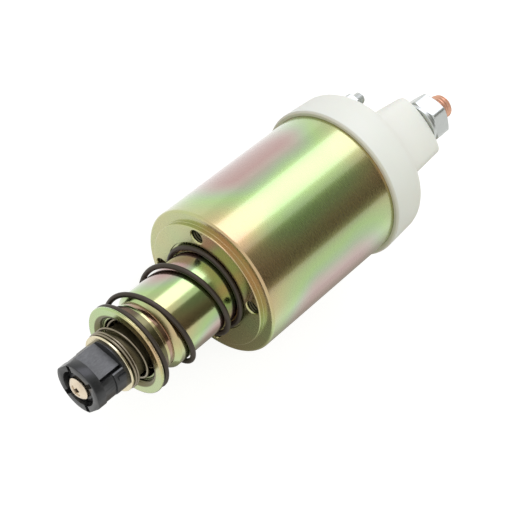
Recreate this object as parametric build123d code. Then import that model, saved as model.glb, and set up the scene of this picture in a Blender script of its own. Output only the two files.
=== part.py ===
from build123d import *
import math
import os

# Starter solenoid: a plunger magnet that pulls the pinion fork and closes the starter's main contacts.
# Millimetres. The origin is on the axis at the mounting face, +X points forward to the fork end and
# +Z to the battery terminal. Angles about the axis are counted from +Y towards +Z.
# The plunger is shown at rest, pushed out by its return spring, with the main contacts open.

# Fits, as radial or end gaps
RUNNING_GAP = 0.06
SEAT_GAP = 0.03
END_GAP = 0.2

# Steel can with its thick front plate
BODY_RADIUS = 30.5
CAN_WALL = 2.5
CAN_LENGTH = 76.0
PLATE_THICKNESS = 12.0
SPIGOT_RADIUS = 26.0
SPIGOT_HEIGHT = 2.0
SPIGOT_CHAMFER = 0.4
SHOULDER_CHAMFER = 1.2
SPRING_SEAT_DEPTH = 0.5
SPRING_SEAT_GAP = 0.6
BOLT_CIRCLE = 45.0
BOLT_COUNT = 4
BOLT_HOLE_RADIUS = 2.5
BOLT_HOLE_DEPTH = 9.0
BOLT_HOLE_CHAMFER = 0.5
BOLT_CLOCKING = 50.8

# Plunger and its travel into the body
PLUNGER_RADIUS = 15.5
PLUNGER_REACH = 29.3
PLUNGER_TAIL_STATION = -38.0
PLUNGER_TRAVEL = 10.0
PLUNGER_EDGE_BREAK = 0.6
PLUNGER_CONE_LENGTH = 1.7
PLUNGER_CONE_DROP = 1.9
TAIL_CONE_LENGTH = 5.0
TAIL_CONE_RADIUS = 10.0
GROOVE_WIDTH = 2.1
GROOVE_DEPTH = 0.5
GROOVE_COLLAR = 1.3
GROOVE_COLLAR_RADIUS = 13.9
NOSE_LENGTH = 5.1
SPRING_BORE_RADIUS = 12.2
WEB_FRONT_STATION = 8.0
WEB_THICKNESS = 4.0
HEAD_CAVITY_RADIUS = 8.0

# Spring cup pressed on the plunger's nose
CUP_SHEET = 1.3
CUP_BAND_LENGTH = 6.0
CUP_INNER_RADIUS = 13.0
CUP_FLANGE_RADIUS = 18.0
CUP_EDGE_BREAK = 0.5
CUP_BEND_RADIUS = 0.7

# Guide sleeve, bobbin and its two windings
SLEEVE_WALL = 0.4
SLEEVE_PROUD = 0.1
SLEEVE_REAR_INSET = 5.8
BOBBIN_WALL = 1.2
BOBBIN_FLANGE = 1.6
BOBBIN_RIM_GAP = 0.3
PULL_IN_SHARE = 4.81 / 9.31
WINDING_GAP = 0.1
WINDING_CAN_GAP = 1.4

# Rear core, which closes the magnetic circuit
CORE_FLANGE_INSET = 12.0
CORE_FLANGE_THICKNESS = 6.0
CORE_RADIUS = 15.5

# Pull rod, its sleeve, the lost-motion spring and the fork end
ROD_RADIUS = 3.5
ROD_HEAD_RADIUS = 6.5
ROD_HEAD_THICKNESS = 4.0
LOST_MOTION = 5.0
ROD_SLEEVE_RADIUS = 9.6
ROD_SLEEVE_WALL = 1.3
ROD_SLEEVE_BOTTOM = 2.0
END_WASHER_RADIUS = 11.4
END_WASHER_THICKNESS = 0.9
END_WASHER_STATION = 48.6
FORK_END_LENGTH = 14.5
FORK_BODY_RADIUS = 9.6
FORK_HEAD_RADIUS = 10.2
FORK_HEAD_LENGTH = 3.7
FORK_COLLAR_THICKNESS = 0.9
FORK_SKIRT_LENGTH = 5.6
FORK_SEAT_HALF_WIDTH = 7.0
FORK_SEAT_ANGLE = 121.0
FORK_FLAT_ANGLE = 180.0
FORK_FLAT_HALF_WIDTH = 9.3
FORK_SLOT_WIDTH = 1.4
FORK_SLOT_EDGE = 5.4
FORK_SLOT_DEPTH = 2.2
FORK_POCKET_RADIUS = 7.2
FORK_POCKET_DEPTH = 2.8
FORK_BOSS_RADIUS = 5.3
FORK_BOSS_INSET = 1.6
FORK_NOTCH_SPREAD = 35.0
FORK_NOTCH_WIDTH = 1.8
FORK_NOTCH_LENGTH = 2.8
FORK_NOTCH_DEPTH = 1.8
FORK_NOTCH_REACH = 8.3
FORK_RIB_ANGLE = 62.0
FORK_RIB_LENGTH = 3.4
FORK_RIB_WIDTH = 1.2
FORK_RIB_HEIGHT = 0.5
FORK_RIB_ROOT = 1.0
FORK_EDGE_ROUND = 0.3
END_SCREW_HEAD_RADIUS = 4.9
END_SCREW_HEAD_HEIGHT = 3.1
END_SCREW_RADIUS = 2.2
END_SCREW_LENGTH = 9.0

# Coil springs: wire radius, mean coil radius, turns
RETURN_WIRE = 1.0
RETURN_MEAN = 17.0
RETURN_OPEN_TURNS = 3.19
RETURN_END_TURNS = 0.5
RETURN_EASE = 0.35
RETURN_PHASE = -100.5
LOST_WIRE = 0.5
LOST_MEAN = 11.2
LOST_OPEN_TURNS = 7.0
LOST_FRONT_TURNS = 1.6
LOST_REAR_TURNS = 0.75
LOST_EASE = 0.1
LOST_PHASE = 164.0
CONTACT_WIRE = 0.45
CONTACT_MEAN = 3.6
CONTACT_TURNS = 3.0
CONTACT_EASE = 0.25
CONE_WIRE = 0.3
CONE_SMALL = 3.6
CONE_LARGE = 8.0
CONE_TURNS = 3.5

# Moving contact on its push rod
PUSH_ROD_RADIUS = 2.5
PUSH_ROD_TRAVEL = 3.2
CONTACT_GAP = 2.2
PUSH_COLLAR_RADIUS = 4.5
PUSH_COLLAR_THICKNESS = 1.6
CONTACT_SPRING_LENGTH = 4.0
INSULATOR_RADIUS = 7.0
INSULATOR_THICKNESS = 1.2
INSULATOR_HUB_RADIUS = 4.6
BRIDGE_STUD_INSET = 4.1
BRIDGE_THICKNESS = 2.5
CLIP_RADIUS = 4.9
CLIP_THICKNESS = 0.8
CLIP_OPENING = 3.0
PUSH_ROD_TAIL = 0.5
TOUCH_GAP = 0.1

# Moulded terminal cap
CAP_OVERLAP = 4.3
CAP_SKIRT_WALL = 2.0
CAP_RIM_BEVEL = 0.8
CAP_DRAFT = 3.4
CAP_DEPTH = 13.2
CAP_WALL = 3.4
CAP_EDGE_ROUND = 3.0
CAP_INNER_WALL = 2.4
SEAL_THICKNESS = 0.8
BOSS_LENGTH = 14.8
BOSS_HALF_WIDTH = 13.9
BOSS_INNER_REACH = 13.6
BOSS_CORNER_ROUND = 4.5
PAD_RADIUS = 5.2
PAD_HEIGHT = 5.0
POST_RADIUS = 4.6

# Main terminals: M10 copper studs with zinc-plated nuts and washers
STUD_RADIUS = 5.0
STUD_CORE_RADIUS = 4.5
STUD_RIM_REACH = 9.4
STUD_FREE_LENGTH = 8.4
STUD_HEAD_RADIUS = 7.0
STUD_END_CHAMFER = 1.0
STUD_ANGLES = {"battery": 90.0, "motor": -90.0}
NUT_ACROSS_FLATS = 17.0
NUT_HEIGHT = 8.0
WASHER_RADIUS = 9.0
WASHER_BORE_RADIUS = 5.25
WASHER_THICKNESS = 1.6

# Coil terminal: M5 stud and nut
COIL_STUD_RADIUS = 2.5
COIL_STUD_CORE_RADIUS = 2.24
COIL_STUD_RIM_REACH = 10.7
COIL_STUD_ANGLE = 161.7
COIL_STUD_FREE_LENGTH = 4.8
COIL_STUD_END_CHAMFER = 0.5
COIL_STUD_HEAD_RADIUS = 4.2
COIL_STUD_HEAD_THICKNESS = 2.0
COIL_NUT_ACROSS_FLATS = 8.0
COIL_NUT_HEIGHT = 4.0

# Two screws hold the cap to the rear core
SCREW_RADIUS = 2.5
SCREW_EDGE_WALL = 1.5
SCREW_ANGLES = (20.0, 200.0)
SCREW_HEAD_RADIUS = 4.4
SCREW_HEAD_HEIGHT = 2.8
SCREW_SLOT_WIDTH = 1.2
SCREW_SLOT_DEPTH = 1.2

# Copper leads from the windings
LEAD_RADIUS = 0.9
LEAD_HOLE_GAP = 0.7
LEAD_EDGE_GAP = 0.2
LEAD_BRIDGE_GAP = 1.1
PULL_IN_LEAD_ANGLE = -90.0

# Stations and radii that follow from the sizes above
X_FACE = 0.0
X_SEAT = X_FACE - SPRING_SEAT_DEPTH
X_SHOULDER = X_FACE - SPIGOT_HEIGHT
X_PLATE_REAR = X_FACE - PLATE_THICKNESS
X_CAN_REAR = X_FACE - CAN_LENGTH
CAN_BORE = BODY_RADIUS - CAN_WALL
SLEEVE_BORE = PLUNGER_RADIUS + RUNNING_GAP
SLEEVE_OUTER = SLEEVE_BORE + SLEEVE_WALL
SPRING_SEAT_RADIUS = RETURN_MEAN + RETURN_WIRE + SPRING_SEAT_GAP

X_GROOVE = PLUNGER_REACH + PLUNGER_CONE_LENGTH
GROOVE_RADIUS = PLUNGER_RADIUS - PLUNGER_CONE_DROP - GROOVE_DEPTH
X_COLLAR = X_GROOVE + GROOVE_WIDTH
X_CUP_REAR = X_COLLAR + GROOVE_COLLAR
X_FLANGE = X_CUP_REAR + CUP_BAND_LENGTH
X_CUP_FRONT = X_FLANGE + CUP_SHEET
X_WEB_REAR = WEB_FRONT_STATION - WEB_THICKNESS
X_HEAD_REAR = X_WEB_REAR - ROD_HEAD_THICKNESS
X_PLUG_FRONT = X_HEAD_REAR - LOST_MOTION - END_GAP

X_CORE_FACE = PLUNGER_TAIL_STATION - PLUNGER_TRAVEL - END_GAP
X_CORE_FLANGE = X_CAN_REAR + CORE_FLANGE_INSET
X_CORE_REAR = X_CORE_FLANGE - CORE_FLANGE_THICKNESS
BOBBIN_BORE = SLEEVE_OUTER + SEAT_GAP
BOBBIN_TUBE = BOBBIN_BORE + BOBBIN_WALL
X_WINDING_FRONT = X_PLATE_REAR - BOBBIN_FLANGE - WINDING_GAP
X_WINDING_REAR = X_CORE_FLANGE + BOBBIN_FLANGE + WINDING_GAP
HOLD_IN_OUTER = CAN_BORE - WINDING_CAN_GAP
WINDING_INNER = BOBBIN_TUBE + WINDING_GAP
PULL_IN_OUTER = WINDING_INNER + PULL_IN_SHARE * (HOLD_IN_OUTER - WINDING_INNER)
HOLD_IN_LEAD_CIRCLE = PULL_IN_OUTER + WINDING_GAP + LEAD_EDGE_GAP + LEAD_RADIUS

X_SLEEVE_REAR = WEB_FRONT_STATION + LOST_MOTION + END_GAP
X_FORK_REAR = END_WASHER_STATION + END_WASHER_THICKNESS
X_FORK_FRONT = X_FORK_REAR + FORK_END_LENGTH
X_FORK_SEAT = X_FORK_REAR + FORK_COLLAR_THICKNESS
X_FORK_HEAD = X_FORK_FRONT - FORK_HEAD_LENGTH
X_FORK_POCKET = X_FORK_FRONT - FORK_POCKET_DEPTH
X_SCREW_SEAT = X_FORK_FRONT - FORK_BOSS_INSET

X_PUSH_TIP = PLUNGER_TAIL_STATION - PLUNGER_TRAVEL - TOUCH_GAP + PUSH_ROD_TRAVEL
X_PUSH_COLLAR = X_CORE_REAR - END_GAP
X_CONTACT_SPRING = X_PUSH_COLLAR - PUSH_COLLAR_THICKNESS
X_INSULATOR = X_CONTACT_SPRING - CONTACT_SPRING_LENGTH
X_BRIDGE = X_INSULATOR - INSULATOR_THICKNESS
X_BRIDGE_REAR = X_BRIDGE - BRIDGE_THICKNESS
X_CLIP = X_BRIDGE_REAR - INSULATOR_THICKNESS - END_GAP
X_CLIP_REAR = X_CLIP - CLIP_THICKNESS
X_STUD_HEAD = X_BRIDGE_REAR - CONTACT_GAP - TOUCH_GAP
X_CAP_RIM = X_CAN_REAR + CAP_OVERLAP
X_CAP_REAR = X_CAN_REAR - CAP_DEPTH
X_CAP_FLOOR = X_CAP_REAR + CAP_WALL
X_CAP_SPIGOT = X_CORE_REAR - SEAL_THICKNESS
X_BOSS_END = X_CAP_REAR - BOSS_LENGTH
X_PAD = X_CAP_REAR - PAD_HEIGHT
CAP_RIM_RADIUS = BODY_RADIUS + CAP_SKIRT_WALL
CAP_SPIGOT_RADIUS = CAN_BORE - SEAT_GAP
CAP_CHAMBER_RADIUS = CAP_SPIGOT_RADIUS - CAP_INNER_WALL
SCREW_CIRCLE = CAN_BORE - SCREW_EDGE_WALL - SCREW_RADIUS

STUD_CIRCLE = CAP_RIM_RADIUS - STUD_RIM_REACH
BRIDGE_RADIUS = STUD_CIRCLE - BRIDGE_STUD_INSET
PULL_IN_LEAD_CIRCLE = BRIDGE_RADIUS + LEAD_BRIDGE_GAP + LEAD_RADIUS
X_NUT = X_BOSS_END - WASHER_THICKNESS
X_NUT_END = X_NUT - NUT_HEIGHT
X_STUD_END = X_NUT_END - STUD_FREE_LENGTH
COIL_STUD_CIRCLE = CAP_RIM_RADIUS - COIL_STUD_RIM_REACH
X_COIL_HEAD = X_CAP_FLOOR + COIL_STUD_HEAD_THICKNESS
X_COIL_NUT_END = X_PAD - COIL_NUT_HEIGHT
X_COIL_STUD_END = X_COIL_NUT_END - COIL_STUD_FREE_LENGTH


def cap_outer_radius(station):
    """Radius of the cap's drafted side wall at a station along the axis."""
    return CAP_RIM_RADIUS - (X_CAP_RIM - station) * math.tan(math.radians(CAP_DRAFT))


def polar(radius, degrees):
    """(y, z) of a point at a radius from the axis, at an angle from +Y towards +Z."""
    return radius * math.cos(math.radians(degrees)), radius * math.sin(math.radians(degrees))


def turned(*corners, rounds=()):
    """Solid turned about X from (station, radius) corners; rounds lists (corner, fillet radius)."""
    profile = make_face(Polyline(*corners, close=True))
    for corner, radius in rounds:
        profile = fillet(profile.vertices().sort_by_distance(Vector(*corner))[0], radius)
    return revolve(profile, Axis.X)


def ring(x_a, x_b, outer, inner, centre=(0, 0)):
    """Tube along X between two stations, about the line through (y, z) = centre."""
    return Pos(0, *centre) * turned((x_a, inner), (x_b, inner), (x_b, outer), (x_a, outer))


def disc(x_a, x_b, radius, centre=(0, 0)):
    """Round bar along X between two stations, about the line through (y, z) = centre."""
    return Pos(0, *centre) * turned((x_a, 0), (x_b, 0), (x_b, radius), (x_a, radius))


def block(x_a, x_b, y_a, y_b, z_a, z_b):
    """Rectangular block between two opposite corners."""
    middle = Pos((x_a + x_b) / 2, (y_a + y_b) / 2, (z_a + z_b) / 2)
    return middle * Box(abs(x_b - x_a), abs(y_b - y_a), abs(z_b - z_a))


def wire_spring(wire, radius_at, station_at, turns, phase, steps, sides):
    """Coil of many-sided wire: radius_at and station_at give its centre line against the turn count."""
    sections = []
    count = round(turns * steps)
    for step in range(count + 1):
        turn = turns * step / count
        plane = Plane(
            origin=(0, 0, 0),
            x_dir=(1, 0, 0),
            z_dir=(0, *polar(1, phase + 360 * turn + 90)),
        )
        # The plane's own y axis points inwards, so the coil's radius is counted with a minus sign
        centre = Pos(station_at(turn), -radius_at(turn))
        sections.append((plane * centre * RegularPolygon(wire, sides)).wire())
    return Solid.make_loft(sections, ruled=True)


def closed_end_station(x_rear, x_front, rear_turns, open_turns, ease, pitch=0.0):
    """Station of a coil's centre line: level end turns and, between them, an even rise.

    The rise eases in and out over a share `ease` of the open turns at each end.
    """
    def station(turn):
        share = min(max((turn - rear_turns) / open_turns, 0), 1)
        if share < ease:
            rise = share ** 2 / (2 * ease * (1 - ease))
        elif share > 1 - ease:
            rise = 1 - (1 - share) ** 2 / (2 * ease * (1 - ease))
        else:
            rise = (share - ease / 2) / (1 - ease)
        return x_rear + (x_front - x_rear) * rise + pitch * max(turn - rear_turns - open_turns, 0)
    return station


def hex_nut(x_seat, height, across_flats, bore, centre):
    """Hexagon nut behind x_seat, chamfered on both faces, with one corner towards +Z."""
    corner = across_flats / math.sqrt(3)
    flat = across_flats / 2
    slope = (corner - flat) * math.tan(math.radians(30))
    x_end = x_seat - height
    outline = [polar(corner, 30 + 60 * side) for side in range(6)]
    prism = extrude(Plane.YZ.offset(x_end) * make_face(Polyline(*outline, close=True)), height)
    barrel = turned(
        (x_end, bore), (x_seat, bore), (x_seat, flat), (x_seat - slope, corner),
        (x_end + slope, corner), (x_end, flat))
    return Pos(0, *centre) * (prism & barrel)


def housing_can():
    """Steel can: spigot, shoulder and four tapped holes at the front, open at the rear."""
    can = turned(
        (X_FACE, SPRING_SEAT_RADIUS), (X_FACE, SPIGOT_RADIUS - SPIGOT_CHAMFER),
        (X_FACE - SPIGOT_CHAMFER, SPIGOT_RADIUS), (X_SHOULDER, SPIGOT_RADIUS),
        (X_SHOULDER, BODY_RADIUS - SHOULDER_CHAMFER), (X_SHOULDER - SHOULDER_CHAMFER, BODY_RADIUS),
        (X_CAN_REAR, BODY_RADIUS), (X_CAN_REAR, CAN_BORE), (X_PLATE_REAR, CAN_BORE),
        (X_PLATE_REAR, SLEEVE_OUTER + SEAT_GAP), (X_SEAT, SLEEVE_OUTER + SEAT_GAP),
        (X_SEAT, SPRING_SEAT_RADIUS))
    mouth = BOLT_HOLE_RADIUS + BOLT_HOLE_CHAMFER
    hole = turned(
        (X_FACE - BOLT_HOLE_DEPTH, 0), (X_FACE, 0), (X_FACE, mouth),
        (X_FACE - BOLT_HOLE_CHAMFER, BOLT_HOLE_RADIUS), (X_FACE - BOLT_HOLE_DEPTH, BOLT_HOLE_RADIUS))
    for number in range(BOLT_COUNT):
        angle = BOLT_CLOCKING + 360 / BOLT_COUNT * number
        can -= Pos(0, *polar(BOLT_CIRCLE / 2, angle)) * hole
    return can


def guide_sleeve():
    """Thin brass tube that the plunger runs in, from the face onto the rear core."""
    return ring(X_FACE + SLEEVE_PROUD, X_CORE_FLANGE + SLEEVE_REAR_INSET, SLEEVE_OUTER, SLEEVE_BORE)


def bobbin():
    """Moulded spool between the front plate and the rear core's flange."""
    rim = CAN_BORE - BOBBIN_RIM_GAP
    spool = turned(
        (X_PLATE_REAR, BOBBIN_BORE), (X_PLATE_REAR, rim), (X_PLATE_REAR - BOBBIN_FLANGE, rim),
        (X_PLATE_REAR - BOBBIN_FLANGE, BOBBIN_TUBE), (X_CORE_FLANGE + BOBBIN_FLANGE, BOBBIN_TUBE),
        (X_CORE_FLANGE + BOBBIN_FLANGE, rim), (X_CORE_FLANGE, rim), (X_CORE_FLANGE, BOBBIN_BORE))
    for centre in lead_centres():
        spool -= disc(X_WINDING_REAR, X_CORE_FLANGE, LEAD_RADIUS + SEAT_GAP, centre)
    return spool


def lead_centres():
    """(y, z) of the hold-in lead and of the pull-in lead."""
    return polar(HOLD_IN_LEAD_CIRCLE, COIL_STUD_ANGLE), polar(PULL_IN_LEAD_CIRCLE, PULL_IN_LEAD_ANGLE)


def pull_in_winding():
    """Inner, thicker winding that draws the plunger in."""
    return ring(X_WINDING_FRONT, X_WINDING_REAR, PULL_IN_OUTER, WINDING_INNER)


def hold_in_winding():
    """Outer, finer winding that holds the plunger in."""
    return ring(X_WINDING_FRONT, X_WINDING_REAR, HOLD_IN_OUTER, PULL_IN_OUTER + WINDING_GAP)


def rear_core():
    """Steel core: a stub with a dished face for the plunger's tail, and a flange that closes the can."""
    core = turned(
        (X_CORE_FACE, PUSH_ROD_RADIUS + RUNNING_GAP), (X_CORE_FACE, TAIL_CONE_RADIUS),
        (X_CORE_FACE + TAIL_CONE_LENGTH, CORE_RADIUS), (X_CORE_FLANGE, CORE_RADIUS),
        (X_CORE_FLANGE, CAN_BORE - SEAT_GAP), (X_CORE_REAR, CAN_BORE - SEAT_GAP),
        (X_CORE_REAR, PUSH_ROD_RADIUS + RUNNING_GAP))
    for centre in lead_centres():
        core -= disc(X_CORE_FLANGE, X_CORE_REAR, LEAD_RADIUS + LEAD_HOLE_GAP, centre)
    for angle in SCREW_ANGLES:
        core -= disc(X_CORE_FLANGE, X_CORE_REAR, SCREW_RADIUS, polar(SCREW_CIRCLE, angle))
    return core


def plunger():
    """Steel plunger: nose for the cup, spring bore, web for the pull rod and a coned tail."""
    cone_end = PLUNGER_RADIUS - PLUNGER_CONE_DROP
    nose = CUP_INNER_RADIUS - SEAT_GAP
    x_nose = X_CUP_REAR + NOSE_LENGTH
    return turned(
        (PLUNGER_TAIL_STATION, HEAD_CAVITY_RADIUS), (PLUNGER_TAIL_STATION, TAIL_CONE_RADIUS),
        (PLUNGER_TAIL_STATION + TAIL_CONE_LENGTH, PLUNGER_RADIUS),
        (PLUNGER_REACH - PLUNGER_EDGE_BREAK, PLUNGER_RADIUS),
        (PLUNGER_REACH, PLUNGER_RADIUS - PLUNGER_EDGE_BREAK), (X_GROOVE, cone_end),
        (X_GROOVE, GROOVE_RADIUS), (X_COLLAR, GROOVE_RADIUS), (X_COLLAR, GROOVE_COLLAR_RADIUS),
        (X_CUP_REAR, GROOVE_COLLAR_RADIUS), (X_CUP_REAR, nose), (x_nose, nose),
        (x_nose, SPRING_BORE_RADIUS), (WEB_FRONT_STATION, SPRING_BORE_RADIUS),
        (WEB_FRONT_STATION, ROD_RADIUS + RUNNING_GAP), (X_WEB_REAR, ROD_RADIUS + RUNNING_GAP),
        (X_WEB_REAR, HEAD_CAVITY_RADIUS))


def plunger_plug():
    """Steel plug that closes the rod head's cavity and strikes the push rod."""
    return disc(PLUNGER_TAIL_STATION, X_PLUG_FRONT, HEAD_CAVITY_RADIUS)


def spring_cup():
    """Pressed sheet cup on the plunger's nose; its flange takes the return spring."""
    band = CUP_INNER_RADIUS + CUP_SHEET
    return turned(
        (X_CUP_REAR, CUP_INNER_RADIUS), (X_CUP_REAR, band), (X_FLANGE - CUP_BEND_RADIUS, band),
        (X_FLANGE, band + CUP_BEND_RADIUS), (X_FLANGE, CUP_FLANGE_RADIUS - CUP_EDGE_BREAK / 2),
        (X_FLANGE + CUP_EDGE_BREAK / 2, CUP_FLANGE_RADIUS), (X_CUP_FRONT - CUP_EDGE_BREAK, CUP_FLANGE_RADIUS),
        (X_CUP_FRONT, CUP_FLANGE_RADIUS - CUP_EDGE_BREAK), (X_CUP_FRONT, CUP_INNER_RADIUS),
        rounds=(((X_CUP_FRONT, CUP_INNER_RADIUS), CUP_BEND_RADIUS + CUP_SHEET),))


def return_spring():
    """Heavy spring between the front plate and the cup's flange."""
    station = closed_end_station(
        X_SEAT + RETURN_WIRE, X_FLANGE - RETURN_WIRE, RETURN_END_TURNS, RETURN_OPEN_TURNS, RETURN_EASE)
    turns = RETURN_OPEN_TURNS + 2 * RETURN_END_TURNS
    return wire_spring(RETURN_WIRE, lambda turn: RETURN_MEAN, station, turns, RETURN_PHASE, 24, 8)


def lost_motion_spring():
    """Fine spring round the rod sleeve, from the plunger's web to the end washer."""
    pitch = 2 * LOST_WIRE + WINDING_GAP
    x_front = END_WASHER_STATION - LOST_WIRE - pitch * LOST_FRONT_TURNS
    station = closed_end_station(
        WEB_FRONT_STATION + LOST_WIRE, x_front, LOST_REAR_TURNS, LOST_OPEN_TURNS, LOST_EASE, pitch)
    turns = LOST_REAR_TURNS + LOST_OPEN_TURNS + LOST_FRONT_TURNS
    return wire_spring(LOST_WIRE, lambda turn: LOST_MEAN, station, turns, LOST_PHASE, 18, 6)


def pull_rod():
    """Steel rod through the plunger's web; its rear head carries the plunger's pull."""
    return turned(
        (X_HEAD_REAR, 0), (X_HEAD_REAR, ROD_HEAD_RADIUS), (X_WEB_REAR - SEAT_GAP, ROD_HEAD_RADIUS),
        (X_WEB_REAR - SEAT_GAP, ROD_RADIUS), (X_SCREW_SEAT, ROD_RADIUS), (X_SCREW_SEAT, END_SCREW_RADIUS),
        (X_SCREW_SEAT - END_SCREW_LENGTH, END_SCREW_RADIUS), (X_SCREW_SEAT - END_SCREW_LENGTH, 0))


def rod_sleeve():
    """Drawn steel sleeve round the rod; its closed end meets the web when the lost motion is used up."""
    return turned(
        (X_SLEEVE_REAR, ROD_RADIUS + SEAT_GAP), (X_SLEEVE_REAR, ROD_SLEEVE_RADIUS),
        (END_WASHER_STATION, ROD_SLEEVE_RADIUS), (END_WASHER_STATION, ROD_SLEEVE_RADIUS - ROD_SLEEVE_WALL),
        (X_SLEEVE_REAR + ROD_SLEEVE_BOTTOM, ROD_SLEEVE_RADIUS - ROD_SLEEVE_WALL),
        (X_SLEEVE_REAR + ROD_SLEEVE_BOTTOM, ROD_RADIUS + SEAT_GAP))


def end_washer():
    """Plated washer that takes the lost-motion spring's thrust behind the fork end."""
    return ring(END_WASHER_STATION, X_FORK_REAR, END_WASHER_RADIUS, ROD_RADIUS + SEAT_GAP)


def fork_end():
    """Moulded spool that the pinion fork straddles: round head, two seat flats and a skirt."""
    spool = turned(
        (X_FORK_REAR, ROD_RADIUS + SEAT_GAP), (X_FORK_REAR, FORK_HEAD_RADIUS),
        (X_FORK_REAR + FORK_SKIRT_LENGTH, FORK_HEAD_RADIUS),
        (X_FORK_REAR + FORK_SKIRT_LENGTH, FORK_BODY_RADIUS), (X_FORK_HEAD, FORK_BODY_RADIUS),
        (X_FORK_HEAD, FORK_HEAD_RADIUS), (X_FORK_FRONT, FORK_HEAD_RADIUS),
        (X_FORK_FRONT, FORK_POCKET_RADIUS), (X_FORK_POCKET, FORK_POCKET_RADIUS),
        (X_FORK_POCKET, FORK_BOSS_RADIUS), (X_SCREW_SEAT, FORK_BOSS_RADIUS),
        (X_SCREW_SEAT, ROD_RADIUS + SEAT_GAP),
        rounds=(((X_FORK_FRONT, FORK_HEAD_RADIUS), FORK_EDGE_ROUND),))
    reach = 2 * FORK_HEAD_RADIUS
    seat = block(X_FORK_SEAT, X_FORK_HEAD, FORK_SEAT_HALF_WIDTH, reach, -reach, reach)
    slot = block(
        X_FORK_SEAT, X_FORK_HEAD, FORK_SEAT_HALF_WIDTH - FORK_SLOT_DEPTH, reach,
        -FORK_SLOT_EDGE - FORK_SLOT_WIDTH, -FORK_SLOT_EDGE)
    side = block(X_FORK_REAR, X_FORK_FRONT, FORK_FLAT_HALF_WIDTH, reach, -reach, reach)
    notch = block(
        X_FORK_FRONT - FORK_NOTCH_DEPTH, X_FORK_FRONT, FORK_NOTCH_REACH - FORK_NOTCH_LENGTH / 2,
        FORK_NOTCH_REACH + FORK_NOTCH_LENGTH / 2, -FORK_NOTCH_WIDTH / 2, FORK_NOTCH_WIDTH / 2)
    rib = block(
        X_FORK_SEAT, X_FORK_SEAT + FORK_RIB_LENGTH, FORK_BODY_RADIUS - FORK_RIB_ROOT,
        FORK_HEAD_RADIUS + FORK_RIB_HEIGHT, -FORK_RIB_WIDTH / 2, FORK_RIB_WIDTH / 2)
    for half_turn in (0, 180):
        spool -= Rot(FORK_SEAT_ANGLE + half_turn, 0, 0) * (seat + slot)
        spool -= Rot(FORK_FLAT_ANGLE + half_turn, 0, 0) * side
        for spread in (-FORK_NOTCH_SPREAD, FORK_NOTCH_SPREAD):
            spool -= Rot(FORK_SEAT_ANGLE + half_turn + spread, 0, 0) * notch
        spool += Rot(FORK_RIB_ANGLE + half_turn, 0, 0) * rib
    return spool


def end_screw():
    """Domed screw that clamps the fork end, washer and sleeve on the rod."""
    x_top = X_SCREW_SEAT + END_SCREW_HEAD_HEIGHT
    head = turned(
        (X_SCREW_SEAT, 0), (x_top, 0), (x_top, END_SCREW_HEAD_RADIUS), (X_SCREW_SEAT, END_SCREW_HEAD_RADIUS),
        rounds=(((x_top, END_SCREW_HEAD_RADIUS), END_SCREW_HEAD_HEIGHT / 2),))
    return head + disc(X_SCREW_SEAT - END_SCREW_LENGTH, X_SCREW_SEAT, END_SCREW_RADIUS)


def push_rod():
    """Rod through the rear core with its stop collar; the plunger pushes its tip."""
    return turned(
        (X_PUSH_TIP, 0), (X_PUSH_TIP, PUSH_ROD_RADIUS), (X_PUSH_COLLAR, PUSH_ROD_RADIUS),
        (X_PUSH_COLLAR, PUSH_COLLAR_RADIUS), (X_CONTACT_SPRING, PUSH_COLLAR_RADIUS),
        (X_CONTACT_SPRING, PUSH_ROD_RADIUS), (X_CLIP_REAR - PUSH_ROD_TAIL, PUSH_ROD_RADIUS),
        (X_CLIP_REAR - PUSH_ROD_TAIL, 0))


def rod_clip():
    """Spring clip near the rod's end that retains the moving contact."""
    clip = ring(X_CLIP, X_CLIP_REAR, CLIP_RADIUS, PUSH_ROD_RADIUS)
    return clip - block(X_CLIP, X_CLIP_REAR, -CLIP_OPENING / 2, CLIP_OPENING / 2, 0, 2 * CLIP_RADIUS)


def contact_spring():
    """Spring that lets the rod travel on once the moving contact has met the studs."""
    station = closed_end_station(
        X_INSULATOR + CONTACT_WIRE, X_CONTACT_SPRING - CONTACT_WIRE, 0.5, CONTACT_TURNS - 1, CONTACT_EASE)
    return wire_spring(CONTACT_WIRE, lambda turn: CONTACT_MEAN, station, CONTACT_TURNS, 0, 16, 5)


def contact_return_spring():
    """Conical spring between the cap's floor and the clip; it folds flat."""
    x_small = X_CLIP_REAR - CONE_WIRE
    x_large = X_CAP_FLOOR + CONE_WIRE

    def radius(turn):
        return CONE_LARGE + (CONE_SMALL - CONE_LARGE) * turn / CONE_TURNS

    def station(turn):
        return x_large + (x_small - x_large) * turn / CONE_TURNS
    return wire_spring(CONE_WIRE, radius, station, CONE_TURNS, 0, 16, 5)


def bridge_insulator():
    """Flanged bush that keeps the moving contact off its rod."""
    bore = PUSH_ROD_RADIUS + RUNNING_GAP
    return turned(
        (X_INSULATOR, bore), (X_INSULATOR, INSULATOR_RADIUS), (X_BRIDGE, INSULATOR_RADIUS),
        (X_BRIDGE, INSULATOR_HUB_RADIUS), (X_BRIDGE_REAR, INSULATOR_HUB_RADIUS), (X_BRIDGE_REAR, bore))


def contact_bridge():
    """Copper disc that joins the two main studs."""
    return ring(X_BRIDGE, X_BRIDGE_REAR, BRIDGE_RADIUS, INSULATOR_HUB_RADIUS + SEAT_GAP)


def insulating_washer():
    """Washer behind the moving contact."""
    return ring(
        X_BRIDGE_REAR, X_BRIDGE_REAR - INSULATOR_THICKNESS, INSULATOR_RADIUS,
        PUSH_ROD_RADIUS + RUNNING_GAP)


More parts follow.
